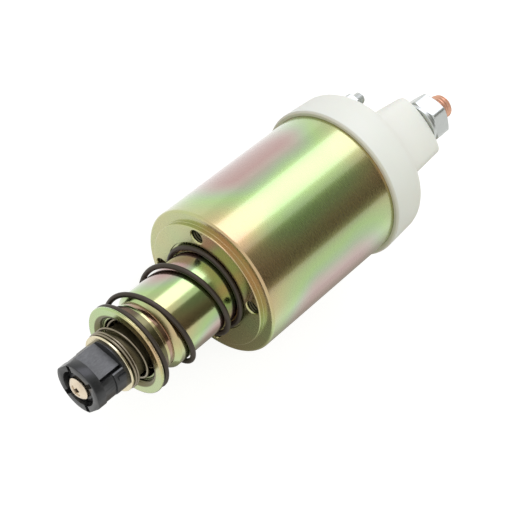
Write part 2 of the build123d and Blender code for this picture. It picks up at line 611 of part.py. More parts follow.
def terminal_boss(angle):
    """Drafted block behind the cap for one main stud; its outer wall runs on from the cap's side."""
    sides = Pos(0, STUD_CIRCLE - BOSS_INNER_REACH + CAP_RIM_RADIUS) * Rectangle(
        2 * BOSS_HALF_WIDTH, 2 * CAP_RIM_RADIUS)
    outline = Circle(cap_outer_radius(X_CAP_FLOOR)) & sides
    outline = fillet(outline.vertices(), BOSS_CORNER_ROUND)
    boss = extrude(outline, X_CAP_FLOOR - X_BOSS_END, taper=CAP_DRAFT)
    # The outline's own x and y become -Y and +Z, and it is drawn out towards -X
    facing_back = Plane(origin=(X_CAP_FLOOR, 0, 0), x_dir=(0, -1, 0), z_dir=(-1, 0, 0))
    return Rot(angle - 90, 0, 0) * (facing_back * boss)


def terminal_cap():
    """Moulded cap: skirt over the can, chamber for the contacts, a boss behind it for each main stud."""
    shell = turned(
        (X_CAP_RIM, 0), (X_CAP_RIM, CAP_RIM_RADIUS - CAP_RIM_BEVEL),
        (X_CAP_RIM - CAP_RIM_BEVEL, CAP_RIM_RADIUS), (X_CAP_REAR, cap_outer_radius(X_CAP_REAR)),
        (X_CAP_REAR, 0),
        rounds=(((X_CAP_REAR, cap_outer_radius(X_CAP_REAR)), CAP_EDGE_ROUND),))
    for angle in STUD_ANGLES.values():
        shell += terminal_boss(angle)
    shell += disc(X_CAP_FLOOR, X_PAD, PAD_RADIUS, polar(COIL_STUD_CIRCLE, COIL_STUD_ANGLE))
    shell -= ring(X_CAP_RIM, X_CAN_REAR - END_GAP, BODY_RADIUS + SEAT_GAP, CAP_SPIGOT_RADIUS)
    shell -= disc(X_CAP_RIM, X_CAP_FLOOR, CAP_CHAMBER_RADIUS)
    collar = ring(X_CAP_RIM, X_CAP_SPIGOT, CAP_SPIGOT_RADIUS, CAP_CHAMBER_RADIUS)
    for angle in SCREW_ANGLES:
        collar += disc(X_CORE_REAR, X_CAP_FLOOR, POST_RADIUS, polar(SCREW_CIRCLE, angle)) & disc(
            X_CORE_REAR, X_CAP_FLOOR, CAP_SPIGOT_RADIUS)
    shell += collar
    for angle in SCREW_ANGLES:
        shell -= disc(X_CORE_REAR, X_CAP_REAR, SCREW_RADIUS + SEAT_GAP, polar(SCREW_CIRCLE, angle))
    for angle in STUD_ANGLES.values():
        shell -= disc(X_CAP_FLOOR, X_BOSS_END, STUD_CORE_RADIUS, polar(STUD_CIRCLE, angle))
        shell -= disc(X_STUD_HEAD, X_CAP_FLOOR, STUD_HEAD_RADIUS + SEAT_GAP, polar(STUD_CIRCLE, angle))
    coil_centre = polar(COIL_STUD_CIRCLE, COIL_STUD_ANGLE)
    coil_head = COIL_STUD_HEAD_RADIUS + SEAT_GAP
    shell -= disc(X_CAP_FLOOR, X_PAD, COIL_STUD_CORE_RADIUS, coil_centre)
    shell -= disc(X_COIL_HEAD, X_CAP_FLOOR, coil_head, coil_centre)
    return shell


def cap_seal():
    """Rubber ring between the rear core and the cap, relieved round the two screw posts."""
    seal = ring(X_CORE_REAR, X_CAP_SPIGOT, CAP_SPIGOT_RADIUS, CAP_CHAMBER_RADIUS)
    for angle in SCREW_ANGLES:
        seal -= disc(X_CORE_REAR, X_CAP_SPIGOT, POST_RADIUS + SEAT_GAP, polar(SCREW_CIRCLE, angle))
    return seal


def main_stud(angle):
    """Copper stud: its head is the fixed contact, its end takes the cable."""
    return Pos(0, *polar(STUD_CIRCLE, angle)) * turned(
        (X_STUD_HEAD, 0), (X_STUD_HEAD, STUD_HEAD_RADIUS), (X_CAP_FLOOR, STUD_HEAD_RADIUS),
        (X_CAP_FLOOR, STUD_CORE_RADIUS), (X_NUT_END, STUD_CORE_RADIUS), (X_NUT_END, STUD_RADIUS),
        (X_STUD_END + STUD_END_CHAMFER, STUD_RADIUS), (X_STUD_END, STUD_RADIUS - STUD_END_CHAMFER),
        (X_STUD_END, 0))


def main_washer(angle):
    """Plain washer under the stud's nut."""
    return ring(X_BOSS_END, X_NUT, WASHER_RADIUS, WASHER_BORE_RADIUS, polar(STUD_CIRCLE, angle))


def main_nut(angle):
    """Hexagon nut on the main stud."""
    return hex_nut(X_NUT, NUT_HEIGHT, NUT_ACROSS_FLATS, STUD_CORE_RADIUS, polar(STUD_CIRCLE, angle))


def coil_stud():
    """Small stud for the control wire."""
    return Pos(0, *polar(COIL_STUD_CIRCLE, COIL_STUD_ANGLE)) * turned(
        (X_COIL_HEAD, 0), (X_COIL_HEAD, COIL_STUD_HEAD_RADIUS), (X_CAP_FLOOR, COIL_STUD_HEAD_RADIUS),
        (X_CAP_FLOOR, COIL_STUD_CORE_RADIUS), (X_COIL_NUT_END, COIL_STUD_CORE_RADIUS),
        (X_COIL_NUT_END, COIL_STUD_RADIUS), (X_COIL_STUD_END + COIL_STUD_END_CHAMFER, COIL_STUD_RADIUS),
        (X_COIL_STUD_END, COIL_STUD_RADIUS - COIL_STUD_END_CHAMFER), (X_COIL_STUD_END, 0))


def coil_nut():
    """Nut that holds the small stud in the cap."""
    return hex_nut(
        X_PAD, COIL_NUT_HEIGHT, COIL_NUT_ACROSS_FLATS, COIL_STUD_CORE_RADIUS,
        polar(COIL_STUD_CIRCLE, COIL_STUD_ANGLE))


def hold_in_lead():
    """Lead from the windings to the coil terminal."""
    return disc(X_WINDING_REAR, X_COIL_HEAD, LEAD_RADIUS, lead_centres()[0])


def pull_in_lead():
    """Lead from the pull-in winding to the motor stud's head."""
    return disc(X_WINDING_REAR, X_STUD_HEAD, LEAD_RADIUS, lead_centres()[1])


def cap_screws():
    """Two slotted screws through the cap into the rear core."""
    x_top = X_CAP_REAR - SCREW_HEAD_HEIGHT
    screw = disc(X_CORE_FLANGE, X_CAP_REAR, SCREW_RADIUS)
    screw += turned(
        (X_CAP_REAR, 0), (X_CAP_REAR, SCREW_HEAD_RADIUS), (x_top, SCREW_HEAD_RADIUS), (x_top, 0),
        rounds=(((x_top, SCREW_HEAD_RADIUS), SCREW_HEAD_HEIGHT / 2),))
    reach = 2 * SCREW_HEAD_RADIUS
    half_slot = SCREW_SLOT_WIDTH / 2
    screw -= block(x_top, x_top + SCREW_SLOT_DEPTH, -reach, reach, -half_slot, half_slot)
    return Compound(children=[Pos(0, *polar(SCREW_CIRCLE, angle)) * screw for angle in SCREW_ANGLES])


PIECES = [
    housing_can, guide_sleeve, bobbin, pull_in_winding, hold_in_winding, rear_core,
    plunger, plunger_plug, spring_cup, return_spring,
    pull_rod, rod_sleeve, end_washer, fork_end, end_screw, lost_motion_spring,
    push_rod, rod_clip, contact_spring, contact_return_spring,
    bridge_insulator, contact_bridge, insulating_washer,
    terminal_cap, cap_seal, cap_screws, coil_stud, coil_nut, hold_in_lead, pull_in_lead,
]

os.makedirs("parts", exist_ok=True)
for piece in PIECES:
    export_step(piece(), f"parts/{piece.__name__}.step")
for terminal, angle in STUD_ANGLES.items():
    export_step(main_stud(angle), f"parts/{terminal}_stud.step")
    export_step(main_washer(angle), f"parts/{terminal}_washer.step")
    export_step(main_nut(angle), f"parts/{terminal}_nut.step")
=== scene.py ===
import bmesh
import bpy
import numpy as np
from mathutils import Matrix


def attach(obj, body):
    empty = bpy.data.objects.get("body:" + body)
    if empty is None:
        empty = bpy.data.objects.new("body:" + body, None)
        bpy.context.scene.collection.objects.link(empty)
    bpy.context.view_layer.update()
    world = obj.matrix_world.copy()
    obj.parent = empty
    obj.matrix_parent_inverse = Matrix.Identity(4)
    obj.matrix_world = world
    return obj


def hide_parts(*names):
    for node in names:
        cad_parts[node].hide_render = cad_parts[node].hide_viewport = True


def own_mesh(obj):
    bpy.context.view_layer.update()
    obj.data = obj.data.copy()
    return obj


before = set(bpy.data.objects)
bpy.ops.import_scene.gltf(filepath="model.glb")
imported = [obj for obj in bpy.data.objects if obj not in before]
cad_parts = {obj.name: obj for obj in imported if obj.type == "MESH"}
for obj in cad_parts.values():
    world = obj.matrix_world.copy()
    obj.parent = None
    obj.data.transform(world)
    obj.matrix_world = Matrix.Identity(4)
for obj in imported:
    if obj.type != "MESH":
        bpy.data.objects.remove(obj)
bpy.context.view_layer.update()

# Steel can.
# Drawn from sheet with a thick front plate, turned on its face, spigot and shoulder, and drilled and tapped
# for four M6 screws. Plated with yellow zinc, whose thin film drifts from gold through green to pink.
CAN_COLUMNS = 288
HOLE_ANGLES = 50.8 + 90.0 * np.arange(4)
HOLE_CIRCLE, HOLE_MOUTH = 22.5, 3.0
CAN_REAR, CAN_RADIUS, PLATE_DEPTH = -76.0, 30.5, -12.0
CAN_PROFILE = [
    (PLATE_DEPTH, 15.99, 0.3), (-0.5, 15.99, 0.2), (-0.5, 18.6, 0.1), (0.0, 18.6, 0.12), (0.0, 26.0, 0.34),
    (-2.0, 26.0, 0.12), (-2.0, CAN_RADIUS, 1.0), (CAN_REAR, CAN_RADIUS, 0.3), (CAN_REAR, 28.0, 0.3),
    (PLATE_DEPTH, 28.0, 1.0),
]
CROWN_ANGLE, CROWN_FILM, STREAK_ANGLE, STREAK_FILM, LEAST_FILM = 92.0, 0.68, 78.0, 0.20, 0.12
CLOUD_SCALE, CLOUD_FILM, DRIFT_SCALE, DRIFT_FILM = 42.0, 0.36, 24.0, 1.1
FILM_COLOURS = [
    (0.0, (0.53, 0.36, 0.165)), (0.125, (0.455, 0.435, 0.17)), (0.25, (0.375, 0.465, 0.175)),
    (0.375, (0.335, 0.495, 0.16)), (0.50, (0.32, 0.455, 0.205)), (0.625, (0.345, 0.39, 0.245)),
    (0.75, (0.38, 0.325, 0.245)), (0.875, (0.385, 0.265, 0.22)), (1.0, (0.375, 0.21, 0.185)),
]
# Painted shade, dark brown, goes inside bores and tapped holes; the specks are small brown stains on the plating.
BORE_SHADE_BROWN, HOLE_SHADE_BROWN, SPECK_BROWN = (0.11, 0.075, 0.045), (0.03, 0.026, 0.016), (0.30, 0.24, 0.10)


def rounded(corners, closed=True, steps=6, support=0.18):
    """Profile (n, 2) from corners (x, r, fillet) in mm: each becomes an arc about the point that lies a fillet
    from both sides, swept from one tangent point to the other, with a support point just outside each end. An
    arc takes no more than 0.45 of the shorter side."""
    place = np.array([corner[:2] for corner in corners], float)
    count, path = len(corners), []
    for index, (_, _, fillet) in enumerate(corners):
        if not closed and index in (0, count - 1):
            path.append(place[index:index + 1])
            continue
        before, after = place[index - 1] - place[index], place[(index + 1) % count] - place[index]
        reach = min(np.linalg.norm(before), np.linalg.norm(after))
        before, after = before / np.linalg.norm(before), after / np.linalg.norm(after)
        half = np.arccos(np.clip(before @ after, -1, 1)) / 2
        fillet = min(fillet, 0.45 * reach * np.tan(half))
        along = fillet / np.tan(half)
        centre = place[index] + (before + after) / np.linalg.norm(before + after) * fillet / np.sin(half)
        start, end = place[index] + before * along - centre, place[index] + after * along - centre
        sweep = np.arccos(np.clip(start @ end / fillet ** 2, -1, 1))
        t = np.linspace(0, 1, steps + 1)[:, None]
        arc = centre + (np.sin((1 - t) * sweep) * start + np.sin(t * sweep) * end) / np.sin(sweep)
        margin = min(support, 0.2 * max(reach - along, 0.01))
        path.append(np.vstack([arc[:1] + before * margin, arc, arc[-1:] + after * margin]))
    return np.vstack(path)


def turned(profile, angles, centre=(0.0, 0.0)):
    """Grid (rows, columns, 3) in metres: row i, column j is (x_i, cy + r_i cos a_j, cz + r_i sin a_j)."""
    x, r = profile[:, :1], profile[:, 1:2]
    a = np.radians(angles)[None, :]
    return np.stack([x + 0 * a, centre[0] + r * np.cos(a), centre[1] + r * np.sin(a)], -1) / 1000


def joined(name, material, *grids):
    """Joins grids (points, closed rows, closed columns) into one mesh, merges what meets and turns its faces out:
    point (i, j) of a grid, its neighbours in the next row and column, and the one between them make a face."""
    points, faces, first = [], [], 0
    for grid, closed_rows, closed_columns in grids:
        rows, columns = grid.shape[:2]
        i = np.arange(rows if closed_rows else rows - 1)[:, None]
        j = np.arange(columns if closed_columns else columns - 1)[None, :]
        corner = [((i + a) % rows) * columns + (j + b) % columns for a, b in ((0, 0), (0, 1), (1, 1), (1, 0))]
        faces.append(np.stack(corner, -1).reshape(-1, 4) + first)
        points.append(grid.reshape(-1, 3))
        first += rows * columns
    mesh = bpy.data.meshes.new(name)
    mesh.from_pydata(np.vstack(points).tolist(), [], np.vstack(faces).tolist())
    build = bmesh.new()
    build.from_mesh(mesh)
    bmesh.ops.remove_doubles(build, verts=build.verts, dist=2e-7)
    bmesh.ops.recalc_face_normals(build, faces=build.faces)
    build.to_mesh(mesh)
    build.free()
    mesh.polygons.foreach_set("use_smooth", np.ones(len(mesh.polygons), bool))
    mesh.materials.append(material)
    made = bpy.data.objects.new(name, mesh)
    bpy.context.scene.collection.objects.link(made)
    return made


def piece(name, body, slot, material, *grids):
    """A joined piece of the part, which rides on its body."""
    made = joined(name, material, *grids)
    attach(made, body)
    return made


class Flow:
    """A value on its way through a material. Arithmetic on it adds Math nodes; node() adds any other kind."""

    def __init__(self, tree, socket=None):
        self.tree, self.socket = tree, socket

    def node(self, kind, settings=None, values=None, output=0):
        made = self.tree.nodes.new(kind)
        for name, setting in (settings or {}).items():
            if name == "stops":
                ramp = made.color_ramp
                for index, (place, colour) in enumerate(setting):
                    stop = ramp.elements[index] if index < 2 else ramp.elements.new(place)
                    stop.position = place
                    stop.color = (*colour, 1.0)
            else:
                setattr(made, name, setting)
        for entry, value in (values or {}).items():
            self.feed(made.inputs[entry], value)
        return Flow(self.tree, made.outputs[output])

    def feed(self, entry, value):
        if isinstance(value, Flow):
            self.tree.links.new(value.socket, entry)
        else:
            entry.default_value = value

    def maths(self, operation, *others):
        return self.node("ShaderNodeMath", {"operation": operation}, dict(enumerate((self, *others))))

    def __add__(self, other):
        return self.maths("ADD", other)

    def __sub__(self, other):
        return self.maths("SUBTRACT", other)

    def __mul__(self, other):
        return self.maths("MULTIPLY", other)

    def __truediv__(self, other):
        return self.maths("DIVIDE", other)

    def __rsub__(self, other):
        return self * -1.0 + other

    __radd__, __rmul__ = __add__, __mul__

    def step(self, low, high):
        """0 below low, 1 above high and a smooth rise between them."""
        return self.node(
            "ShaderNodeMapRange", {"interpolation_type": "SMOOTHSTEP"},
            {0: self, 1: low, 2: high, 3: 0.0, 4: 1.0})

    def between(self, low, high, soft):
        """1 from low to high and 0 outside, with smooth edges that reach soft to both sides."""
        return self.step(low - soft, low + soft) * (1.0 - self.step(high - soft, high + soft))

    def mixed(self, low, high):
        """Colour low where the value is 0, colour high where it is 1."""
        colours = [(*c, 1.0) if isinstance(c, tuple) else c for c in (low, high)]
        return self.node(
            "ShaderNodeMix", {"data_type": "RGBA"}, {0: self, 6: colours[0], 7: colours[1]}, 2)

    def ramp(self, *stops):
        return self.node("ShaderNodeValToRGB", {"stops": stops}, {0: self})

    def noise(self, where, scale, detail=2.0, roughness=0.5):
        return self.node(
            "ShaderNodeTexNoise", {},
            {"Vector": where, "Scale": scale, "Detail": detail, "Roughness": roughness})


def new_finish(name):
    """Material, its shader, the flow that starts it, and the place on the object in metres, whole and as x, y, z."""
    material = bpy.data.materials.new(name)
    material.use_nodes = True
    flow = Flow(material.node_tree)
    where = flow.node("ShaderNodeTexCoord", output="Object")
    split = flow.node("ShaderNodeSeparateXYZ", values={0: where}).socket.node
    xyz = [Flow(material.node_tree, socket) for socket in split.outputs]
    return material, material.node_tree.nodes["Principled BSDF"], flow, where, xyz


def set_finish(flow, shader, height=None, **inputs):
    """Feeds the shader's sockets: Base_Color stands for Base Color, and height for a bump in metres."""
    for name, value in inputs.items():
        if isinstance(value, tuple):
            value = (*value, 1.0)
        flow.feed(shader.inputs[name.replace("_", " ")], value)
    if height is not None:
        bump = flow.node("ShaderNodeBump", values={"Strength": 1.0, "Distance": 1.0, "Height": height})
        flow.feed(shader.inputs["Normal"], bump)


def stretched(flow, xyz, along, across):
    """The place with its x scaled by along, and its y and z by across."""
    x, y, z = xyz
    return flow.node("ShaderNodeCombineXYZ", values={0: x * along, 1: y * across, 2: z * across})


def yellow_zinc(name, rear, front, thinnest, roughness, stain=None, hollow=None, shaded_holes=False):
    """Plating whose film, from 0 to 1, is thin along the crown and at both ends, x = rear and x = front in mm, and
    thickens away from them. Inside a bore of radius hollow, and, when asked, in the can's tapped holes, its colour
    is painted dark brown with less coat, as painted shade."""
    material, shader, flow, where, xyz = new_finish(name)
    x, y, z = xyz
    radius = (y * y + z * z).maths("SQRT")
    from_crown, from_streak = (
        ((y * float(np.cos(a)) + z * float(np.sin(a))) / (radius + 1e-5)).maths("ARCCOSINE")
        for a in np.radians((CROWN_ANGLE, STREAK_ANGLE)))
    span = front - rear
    ends = (1.0 - x.step((front - 0.36 * span) / 1000, front / 1000)) * (
        x.step((rear - 0.07 * span) / 1000, (rear + 0.38 * span) / 1000))
    cloud = flow.noise(stretched(flow, xyz, 0.7, 1.0), CLOUD_SCALE, 2.0, 0.5) - 0.5
    drift = flow.noise(stretched(flow, xyz, 0.6, 1.0), DRIFT_SCALE, 2.0, 0.45) - 0.5
    round_it = from_streak.step(0.03, 0.30) * STREAK_FILM + from_crown.step(0.38, 1.12) * CROWN_FILM + LEAST_FILM
    along_it = ends * (1.0 - thinnest) + thinnest
    film = round_it * along_it * (drift * DRIFT_FILM + 1.06) + cloud * CLOUD_FILM
    plating = film.ramp(*FILM_COLOURS)
    grain = flow.noise(stretched(flow, xyz, 2600.0, 260.0), 1.0, 3.0, 0.6)
    speck = flow.noise(where, 900.0, 2.0, 0.6)
    coat = 1.0
    if stain is not None:
        low, high, colour = stain
        plating = (x.between(low / 1000, high / 1000, 0.0002) * 0.85).mixed(plating, colour)
    # Painted shade: inside a bore, below radius hollow, the plating turns dull dark brown and loses most of its
    # coat.
    if hollow is not None:
        in_shade = 1.0 - radius.step((hollow - 0.1) / 1000, (hollow + 0.5) / 1000)
        plating = (in_shade * 0.85).mixed(plating, BORE_SHADE_BROWN)
        coat = 1.0 - in_shade * 0.9
    # Painted shade: the walls of the four tapped holes in the front plate are coloured dark brown, with less coat.
    if shaded_holes:
        in_plate = (1.0 - x.step(-0.0012, -0.0005)) * x.step(-0.0119, -0.0118)
        in_shade = in_plate * radius.step(0.0190, 0.0192) * (1.0 - radius.step(0.0257, 0.0258))
        plating = (in_shade * 0.93).mixed(plating, HOLE_SHADE_BROWN)
        coat = 1.0 - in_shade * 0.9
    plating = (speck.step(0.62, 0.8) * 0.25).mixed(plating, SPECK_BROWN)
    set_finish(
        flow, shader, Base_Color=plating, Metallic=1.0, Coat_Weight=coat, Coat_IOR=1.75, Coat_Roughness=0.12,
        Roughness=grain * 0.08 + (roughness - 0.04), height=grain * 2.5e-6 + speck * 1.5e-6)
    return material


def windowed_face(inner, outer, window=8, rows=8):
    """Flat ring at x = 0 with round holes: plain sectors are polar grids, and each hole has a patch whose rows
    run straight from its circle to the edge of a polar window, window columns to each side and rows high."""
    step = 360 / CAN_COLUMNS
    radii = np.linspace(inner, outer, rows + 1)
    side = step * np.arange(-window, window + 1)
    reach = np.array([0.0, 0.06, 0.35, 0.7, 1.0])[:, None, None]
    grids, rims = [], []
    for angle in HOLE_ANGLES:
        plain = angle + step * np.arange(window, CAN_COLUMNS // 4 - window + 1)
        grids.append((turned(np.stack([0 * radii, radii], 1), plain), False, False))
        edge = np.concatenate([
            np.stack([np.full(2 * window, inner), side[:-1]], 1),
            np.stack([radii[:-1], np.full(rows, side[-1])], 1),
            np.stack([np.full(2 * window, outer), side[:0:-1]], 1),
            np.stack([radii[:0:-1], np.full(rows, side[0])], 1)])
        bearing = np.radians(angle + edge[:, 1])
        edge = np.stack([edge[:, 0] * np.cos(bearing), edge[:, 0] * np.sin(bearing)], 1)
        middle = HOLE_CIRCLE * np.array([np.cos(np.radians(angle)), np.sin(np.radians(angle))])
        outward = edge - middle
        turn = np.arctan2(outward[:, 1], outward[:, 0])
        circle = middle + HOLE_MOUTH * np.stack([np.cos(turn), np.sin(turn)], 1)
        flat = circle + (edge - circle) * reach
        grids.append((np.concatenate([0 * flat[..., :1], flat], -1) / 1000, False, True))
        rims.append((middle, turn))
    return grids, rims


def tapped_hole(middle, turn, core=2.5, crest=0.42, pitch=1.0, depth=9.0, bevel=0.5, point=1.6):
    """Wall of a blind hole: a mouth bevel, then a radius that swells by crest once per pitch along a helix, and
    a drill point."""
    x = -np.concatenate([[0.0, 0.06], np.linspace(bevel, depth, 96), [depth + 0.9, depth + point]])[:, None]
    wave = np.abs(((x / pitch - turn[None, :] / (2 * np.pi)) % 1.0) - 0.5) * 2
    grown = np.clip((-x - bevel) / 0.5, 0, 1) * np.clip((depth + 0.05 + x) / 0.4, 0, 1)
    r = core + crest * wave * grown
    r = np.where(-x < bevel, HOLE_MOUTH + (core - HOLE_MOUTH) * np.clip(-x / bevel, 0, 1), r)
    r = np.where(-x > depth, core * np.clip(1 - (-x - depth) / point, 0, 1), r)
    grid = np.stack([x + 0 * r, middle[0] + r * np.cos(turn), middle[1] + r * np.sin(turn)], -1) / 1000
    return grid, False, True


can_zinc = yellow_zinc("can_zinc", CAN_REAR, 0.0, thinnest=0.15, roughness=0.27, shaded_holes=True)
can_path = rounded(CAN_PROFILE, support=0.1)
on_face = np.flatnonzero(np.abs(can_path[:, 0]) < 1e-9)
split = on_face[np.argmax(np.diff(can_path[on_face, 1]))]
around = np.vstack([can_path[split + 1:], can_path[:split + 1]])
can_angles = HOLE_ANGLES[0] + 360 / CAN_COLUMNS * np.arange(CAN_COLUMNS)
face_grids, rims = windowed_face(around[-1, 1], around[0, 1])
housing = piece(
    "steel_can", "solenoid_body", "yellow_zinc", can_zinc,
    (turned(around, can_angles), False, True), *face_grids, *[tapped_hole(*rim) for rim in rims])
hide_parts("housing_can")

# Guide sleeve.
# A thin drawn brass tube, swaged into the front plate. The plunger runs in it, and only its front edge shows.


def toned_metal(name, low, high, tone, roughness, bump, metallic=1.0):
    """Finish whose tone, a noise of (scale, detail) or (scale, detail, harshness), runs from the colour low to high.
    Its roughness (base, share) is base + share * tone, and its bump (scale, metres) a second noise times metres."""
    material, shader, flow, where, _ = new_finish(name)
    toned = flow.noise(where, *tone)
    set_finish(
        flow, shader, Base_Color=toned.mixed(low, high), Metallic=metallic,
        Roughness=toned * roughness[1] + roughness[0], height=flow.noise(where, bump[0]) * bump[1])
    return material


def dress(node, material):
    """Gives a CAD node its material."""
    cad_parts[node].data.materials.clear()
    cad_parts[node].data.materials.append(material)


dress("guide_sleeve", toned_metal(
    "sleeve_brass", (0.72, 0.52, 0.22), (0.48, 0.33, 0.14), tone=(260.0, 3.0), roughness=(0.22, 0.2),
    bump=(2200.0, 2e-6)))

# Bobbin and windings.
# A moulded spool carries two layers of enamelled copper, with a lead from each to its terminal. All of it is
# closed in by the can and the rear core.
RADIANS_PER_METRE = 9000.0
enamel, shader, flow, _, (x, _, _) = new_finish("enamelled_copper")
strand = (x * RADIANS_PER_METRE).maths("SINE")
# Painted shade: the copper colour darkens in the troughs between turns, following the same wave as the bump.
set_finish(
    flow, shader, Base_Color=strand.step(-1.0, 1.0).mixed((0.16, 0.05, 0.02), (0.55, 0.24, 0.10)),
    Metallic=0.8, Roughness=0.28, height=strand * 4e-5)
spool_nylon, shader, flow, where, _ = new_finish("spool_nylon")
set_finish(
    flow, shader, Base_Color=flow.noise(where, 300.0).mixed((0.03, 0.03, 0.035), (0.05, 0.05, 0.055)),
    Roughness=0.5, height=flow.noise(where, 1500.0) * 6e-6)
dress("bobbin", spool_nylon)
for node in ("pull_in_winding", "hold_in_winding", "pull_in_lead", "hold_in_lead"):
    dress(node, enamel)

# Rear core, plunger plug, rods and clip.
# Turned from free-cutting steel and left bare, with fine tool marks round them.
turned_steel, shader, flow, _, xyz = new_finish("turned_steel")
cut = flow.noise(stretched(flow, xyz, 5200.0, 180.0), 1.0, 2.0)
set_finish(
    flow, shader, Base_Color=cut.mixed((0.42, 0.42, 0.43), (0.58, 0.58, 0.58)), Metallic=1.0,
    Roughness=cut * 0.12 + 0.26, height=cut * 6e-6)
for node in ("rear_core", "plunger_plug", "pull_rod", "push_rod", "rod_clip"):
    dress(node, turned_steel)

# Plunger.
# Turned from solid steel and zinc plated all over: a coned edge in front, then a narrow groove where the film
# stays reddish brown, and a thin collar that the spring cup stands against.
WHOLE_TURN = np.arange(0.0, 360.0, 2.0)
GROOVE_STAIN = (31.0, 33.1, (0.30, 0.13, 0.075))
PLUNGER_PROFILE = [
    (-38.0, 8.0, 0.2), (-38.0, 10.0, 0.3), (-33.0, 15.5, 0.4), (29.3, 15.5, 0.7), (31.0, 13.6, 0.2),
    (31.0, 13.1, 0.12), (33.1, 13.1, 0.2), (33.1, 13.9, 0.25), (34.4, 13.9, 0.2), (34.4, 12.97, 0.1),
    (39.5, 12.97, 0.25), (39.5, 12.2, 0.25), (8.0, 12.2, 0.4), (8.0, 3.56, 0.2), (4.0, 3.56, 0.2), (4.0, 8.0, 0.3),
]


def lathed(profile, centre=(0.0, 0.0), steps=6):
    """Closed ring: the rounded profile turned about an X axis through the centre, a column every two degrees."""
    return turned(rounded(profile, steps=steps), WHOLE_TURN, centre), True, True


plunger_zinc = yellow_zinc(
    "plunger_zinc", -30.0, 31.0, thinnest=0.25, roughness=0.18, stain=GROOVE_STAIN, hollow=12.3)
plunger = piece("sliding_plunger", "plunger", "yellow_zinc", plunger_zinc, lathed(PLUNGER_PROFILE))
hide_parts("plunger")

# Spring cup.
# Pressed from sheet, zinc plated and pushed onto the plunger's nose; the flange turns out through a round lip.
CUP_PROFILE = [
    (34.4, 13.0, 0.2), (34.4, 14.3, 0.3), (40.4, 14.3, 0.7), (40.4, 18.0, 0.4), (41.7, 18.0, 0.6), (41.7, 13.0, 2.0),
]
cup_zinc = yellow_zinc("cup_zinc", 31.0, 41.4, thinnest=0.24, roughness=0.24, hollow=14.8)
cup = piece("pressed_spring_cup", "plunger", "yellow_zinc", cup_zinc, lathed(CUP_PROFILE, steps=8))
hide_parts("spring_cup")

# Return spring.
# Wound from round spring wire, right-handed, with its end coils closed, and blued to a dark brown. It pushes
# the plunger out of the body.
RETURN_SPRING = dict(
    x_rear=0.5, x_front=39.4, wire=1.0, mean=17.0, phase=-100.5, rear_turns=0.5, open_turns=3.19, front_turns=0.5,
    ease=0.35)


def coil(x_rear, x_front, wire, mean, phase, rear_turns, open_turns, front_turns, ease, pitch=0.0, last=None,
         per_turn=72, sides=14):
    """Round wire along a helix: the line's place is (x(n), R(n) cos a, R(n) sin a) at turn n. x rests on the end
    turns, or climbs there by pitch, and between them speeds up and slows down over a share called ease."""
    turns = rear_turns + open_turns + front_turns
    n = np.linspace(0, turns, int(turns * per_turn) + 1)
    share = np.clip((n - rear_turns) / open_turns, 0, 1)
    climb = np.where(
        share < ease, share ** 2 / (2 * ease * (1 - ease)),
        np.where(share > 1 - ease, 1 - (1 - share) ** 2 / (2 * ease * (1 - ease)), (share - ease / 2) / (1 - ease)))
    front = x_front - pitch * front_turns
    rear = x_rear + pitch * rear_turns
    x = rear + (front - rear) * climb
    x = x + pitch * (np.clip(n - rear_turns - open_turns, 0, None) - np.clip(rear_turns - n, 0, None))
    radius = mean if last is None else mean + (last - mean) * n / turns
    a = np.radians(phase) + 2 * np.pi * n
    line = np.stack([x, radius * np.cos(a), radius * np.sin(a)], -1)
    ahead = np.gradient(line, axis=0)
    ahead /= np.linalg.norm(ahead, axis=1, keepdims=True)
    out = np.stack([0 * a, np.cos(a), np.sin(a)], -1)
    out -= ahead * np.sum(out * ahead, 1, keepdims=True)
    out /= np.linalg.norm(out, axis=1, keepdims=True)
    side = np.cross(ahead, out)
    b = 2 * np.pi * np.arange(sides) / sides
    ring = out[:, None] * np.cos(b)[None, :, None] + side[:, None] * np.sin(b)[None, :, None]
    skin = line[:, None] + wire * ring
    caps = [np.repeat(line[i][None, None], sides, 1) for i in (0, -1)]
    return np.concatenate([caps[0], skin, caps[1]]) / 1000, False, True


blued_steel = toned_metal(
    "blued_spring_steel", (0.040, 0.032, 0.024), (0.085, 0.070, 0.054), tone=(120.0, 3.0), roughness=(0.34, 0.15),
    bump=(2500.0, 3e-6), metallic=0.75)
return_coils = piece(
    "plunger_return_spring", "solenoid_body", "spring_steel", blued_steel, coil(**RETURN_SPRING))
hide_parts("return_spring")
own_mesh(return_coils)

# Rod sleeve and end washer.
# A drawn tube round the pull rod, zinc plated to an olive that is painted dark as shade, since it sits inside the
# plunger and its spring, and a paler stamped washer in front of it.
SLEEVE_PROFILE = [
    (13.2, 3.53, 0.2), (13.2, 9.6, 0.8), (48.6, 9.6, 0.15), (48.6, 8.3, 0.15), (15.2, 8.3, 0.5), (15.2, 3.53, 0.2),
]
END_WASHER_PROFILE = [(48.6, 3.53, 0.1), (48.6, 11.4, 0.25), (49.5, 11.4, 0.25), (49.5, 3.53, 0.1)]
olive_zinc, shader, flow, where, xyz = new_finish("olive_zinc")
# Painted shade: both colours are dark olives, darker than the plating elsewhere; the noise between them is random
# tone.
shaded_mottle = flow.noise(stretched(flow, xyz, 0.6, 1.0), 150.0, 3.0)
set_finish(
    flow, shader, Base_Color=shaded_mottle.mixed((0.10, 0.085, 0.045), (0.24, 0.21, 0.13)), Metallic=1.0,
    Roughness=shaded_mottle * 0.2 + 0.36, height=flow.noise(where, 1100.0, 3.0) * 4e-5)
rod_tube = piece("drawn_rod_sleeve", "fork_end", "olive_zinc", olive_zinc, lathed(SLEEVE_PROFILE))
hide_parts("rod_sleeve")
washer_zinc = toned_metal(
    "washer_zinc", (0.62, 0.53, 0.33), (0.80, 0.74, 0.55), tone=(300.0, 2.0), roughness=(0.2, 0.1),
    bump=(1800.0, 2e-6))
end_washer = piece("plated_end_washer", "fork_end", "olive_zinc", washer_zinc, lathed(END_WASHER_PROFILE))
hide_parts("end_washer")

